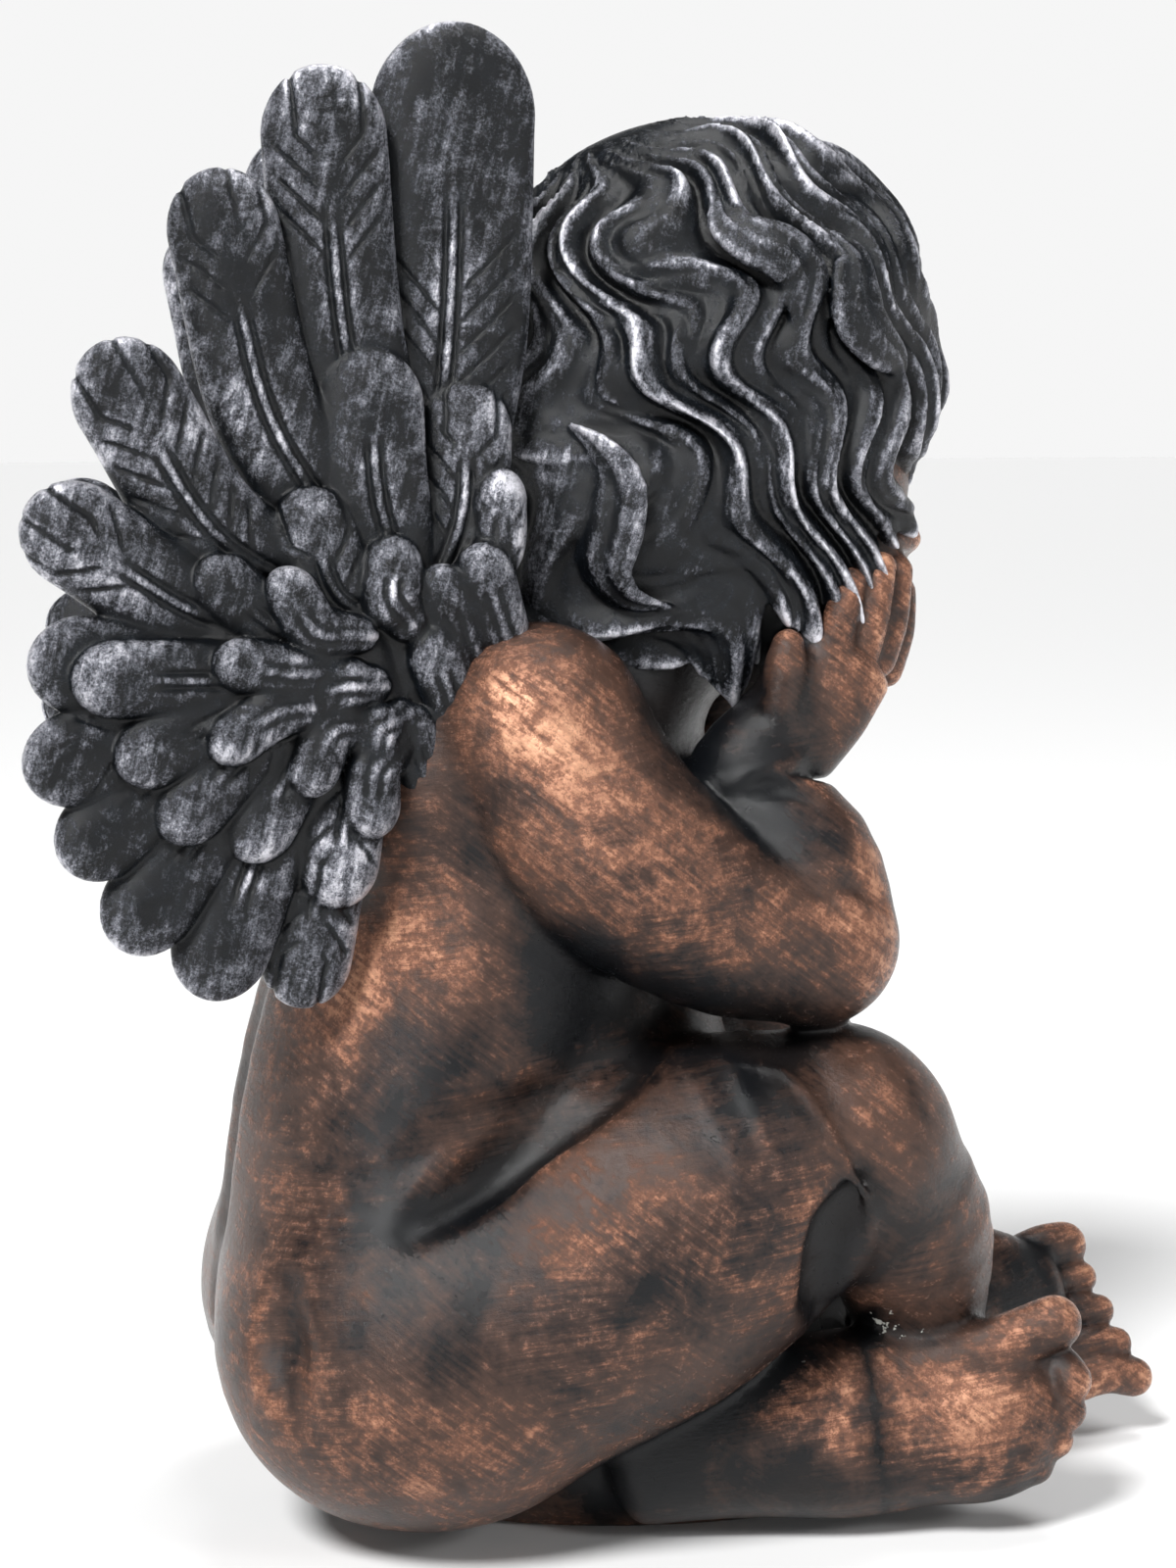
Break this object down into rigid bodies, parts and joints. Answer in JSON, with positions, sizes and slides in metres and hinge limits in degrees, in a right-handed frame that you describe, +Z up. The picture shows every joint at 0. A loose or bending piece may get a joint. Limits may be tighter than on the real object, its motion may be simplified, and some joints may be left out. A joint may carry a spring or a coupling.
{
  "type": "putto statue",
  "caption": "Seated winged putto in cast stone, knees drawn up, elbows on its knees and its bowed head resting in both hands.",
  "frame": {"origin": "middle of the figure's bounding box in plan, on the plane of its flat underside", "axes": "+Z up; the figure faces -Y; its own left is +X"},
  "size_m": [0.212, 0.3678, 0.45],
  "materials": {
    "painted_cast_stone": "near-black paint, dry-brushed copper on the skin and silver on the hair and wings, satin"
  },
  "bodies": {
    "root": {"putto": "painted_cast_stone"}
  },
  "joints": []
}
